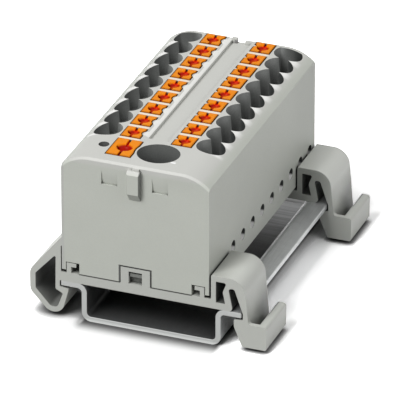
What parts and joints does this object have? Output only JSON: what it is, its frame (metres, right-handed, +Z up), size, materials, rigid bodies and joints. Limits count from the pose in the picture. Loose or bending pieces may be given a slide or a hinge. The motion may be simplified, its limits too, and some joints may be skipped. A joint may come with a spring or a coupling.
{
  "type": "power distribution block",
  "caption": "Rail-mounted distribution block with two rows of push-in wire entries, orange release buttons and a larger feed terminal.",
  "frame": {"origin": "centre of the rail's underside, half-way along the rail", "axes": "+Z up, away from the rail's underside; +Y along the rail, away from the large feed terminal; +X towards the release levers"},
  "size_m": [0.0459, 0.0562, 0.0338],
  "materials": {
    "housing_plastic": "satin",
    "foot_plastic": "satin",
    "button_plastic": "satin",
    "rail_steel": "zinc plated",
    "bar_copper": "tinned copper",
    "spring_steel": "bright"
  },
  "bodies": {
    "block": {"din_rail": "rail_steel", "front_foot": "foot_plastic", "rear_foot": "foot_plastic", "housing": "housing_plastic", "bottom_cover": "foot_plastic", "current_bar": "bar_copper", "main_spring": "spring_steel", "spring_l1": "spring_steel", "spring_l2": "spring_steel", "spring_l3": "spring_steel", "spring_l4": "spring_steel", "spring_l5": "spring_steel", "spring_l6": "spring_steel", "spring_l7": "spring_steel", "spring_l8": "spring_steel", "spring_l9": "spring_steel", "spring_r1": "spring_steel", "spring_r2": "spring_steel", "spring_r3": "spring_steel", "spring_r4": "spring_steel", "spring_r5": "spring_steel", "spring_r6": "spring_steel", "spring_r7": "spring_steel", "spring_r8": "spring_steel", "spring_r9": "spring_steel"},
    "main_button_body": {"main_button": "button_plastic"},
    "button_l1_body": {"button_l1": "button_plastic"},
    "button_l2_body": {"button_l2": "button_plastic"},
    "button_l3_body": {"button_l3": "button_plastic"},
    "button_l4_body": {"button_l4": "button_plastic"},
    "button_l5_body": {"button_l5": "button_plastic"},
    "button_l6_body": {"button_l6": "button_plastic"},
    "button_l7_body": {"button_l7": "button_plastic"},
    "button_l8_body": {"button_l8": "button_plastic"},
    "button_l9_body": {"button_l9": "button_plastic"},
    "button_r1_body": {"button_r1": "button_plastic"},
    "button_r2_body": {"button_r2": "button_plastic"},
    "button_r3_body": {"button_r3": "button_plastic"},
    "button_r4_body": {"button_r4": "button_plastic"},
    "button_r5_body": {"button_r5": "button_plastic"},
    "button_r6_body": {"button_r6": "button_plastic"},
    "button_r7_body": {"button_r7": "button_plastic"},
    "button_r8_body": {"button_r8": "button_plastic"},
    "button_r9_body": {"button_r9": "button_plastic"}
  },
  "joints": [
    {"name": "main_button_press", "type": "slide", "parent": "block", "child": "main_button_body", "axis": [0, 0, -1], "range_m": [0, 0.0013], "stiffness_N_per_m": 4000},
    {"name": "button_l1_press", "type": "slide", "parent": "block", "child": "button_l1_body", "axis": [0, 0, -1], "range_m": [0, 0.0013], "stiffness_N_per_m": 3000},
    {"name": "button_l2_press", "type": "slide", "parent": "block", "child": "button_l2_body", "axis": [0, 0, -1], "range_m": [0, 0.0013], "stiffness_N_per_m": 3000},
    {"name": "button_l3_press", "type": "slide", "parent": "block", "child": "button_l3_body", "axis": [0, 0, -1], "range_m": [0, 0.0013], "stiffness_N_per_m": 3000},
    {"name": "button_l4_press", "type": "slide", "parent": "block", "child": "button_l4_body", "axis": [0, 0, -1], "range_m": [0, 0.0013], "stiffness_N_per_m": 3000},
    {"name": "button_l5_press", "type": "slide", "parent": "block", "child": "button_l5_body", "axis": [0, 0, -1], "range_m": [0, 0.0013], "stiffness_N_per_m": 3000},
    {"name": "button_l6_press", "type": "slide", "parent": "block", "child": "button_l6_body", "axis": [0, 0, -1], "range_m": [0, 0.0013], "stiffness_N_per_m": 3000},
    {"name": "button_l7_press", "type": "slide", "parent": "block", "child": "button_l7_body", "axis": [0, 0, -1], "range_m": [0, 0.0013], "stiffness_N_per_m": 3000},
    {"name": "button_l8_press", "type": "slide", "parent": "block", "child": "button_l8_body", "axis": [0, 0, -1], "range_m": [0, 0.0013], "stiffness_N_per_m": 3000},
    {"name": "button_l9_press", "type": "slide", "parent": "block", "child": "button_l9_body", "axis": [0, 0, -1], "range_m": [0, 0.0013], "stiffness_N_per_m": 3000},
    {"name": "button_r1_press", "type": "slide", "parent": "block", "child": "button_r1_body", "axis": [0, 0, -1], "range_m": [0, 0.0013], "stiffness_N_per_m": 3000},
    {"name": "button_r2_press", "type": "slide", "parent": "block", "child": "button_r2_body", "axis": [0, 0, -1], "range_m": [0, 0.0013], "stiffness_N_per_m": 3000},
    {"name": "button_r3_press", "type": "slide", "parent": "block", "child": "button_r3_body", "axis": [0, 0, -1], "range_m": [0, 0.0013], "stiffness_N_per_m": 3000},
    {"name": "button_r4_press", "type": "slide", "parent": "block", "child": "button_r4_body", "axis": [0, 0, -1], "range_m": [0, 0.0013], "stiffness_N_per_m": 3000},
    {"name": "button_r5_press", "type": "slide", "parent": "block", "child": "button_r5_body", "axis": [0, 0, -1], "range_m": [0, 0.0013], "stiffness_N_per_m": 3000},
    {"name": "button_r6_press", "type": "slide", "parent": "block", "child": "button_r6_body", "axis": [0, 0, -1], "range_m": [0, 0.0013], "stiffness_N_per_m": 3000},
    {"name": "button_r7_press", "type": "slide", "parent": "block", "child": "button_r7_body", "axis": [0, 0, -1], "range_m": [0, 0.0013], "stiffness_N_per_m": 3000},
    {"name": "button_r8_press", "type": "slide", "parent": "block", "child": "button_r8_body", "axis": [0, 0, -1], "range_m": [0, 0.0013], "stiffness_N_per_m": 3000},
    {"name": "button_r9_press", "type": "slide", "parent": "block", "child": "button_r9_body", "axis": [0, 0, -1], "range_m": [0, 0.0013], "stiffness_N_per_m": 3000}
  ]
}
